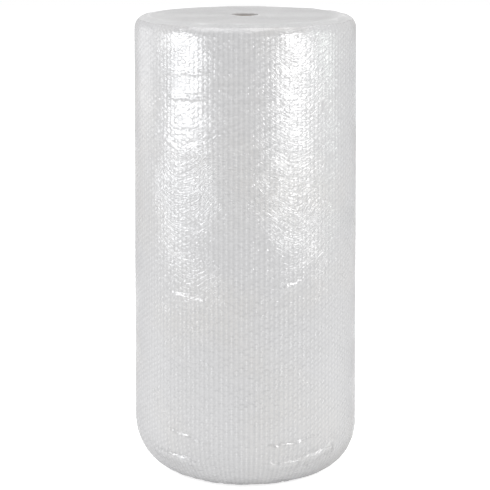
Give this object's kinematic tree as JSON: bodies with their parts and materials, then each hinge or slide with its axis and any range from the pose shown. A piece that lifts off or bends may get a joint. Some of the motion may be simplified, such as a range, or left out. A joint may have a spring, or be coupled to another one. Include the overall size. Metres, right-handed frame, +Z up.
{
  "type": "bubble wrap roll",
  "caption": "Tall roll of clear small-bubble cushioning film, wound on a paperboard core tube and standing on its end.",
  "frame": {"origin": "on the core's axis, in the plane that the foot of the roll stands on", "axes": "+Z up along the core's axis, from the foot to the head of the roll"},
  "size_m": [0.4949, 0.4925, 1],
  "materials": {
    "bubble_film": "glossy clear film that looks pale grey where many turns lie on each other",
    "core_board": "matt brown paperboard, spirally wound"
  },
  "bodies": {
    "root": {"wound_bubble_web": "bubble_film", "core_tube": "core_board"}
  },
  "joints": []
}
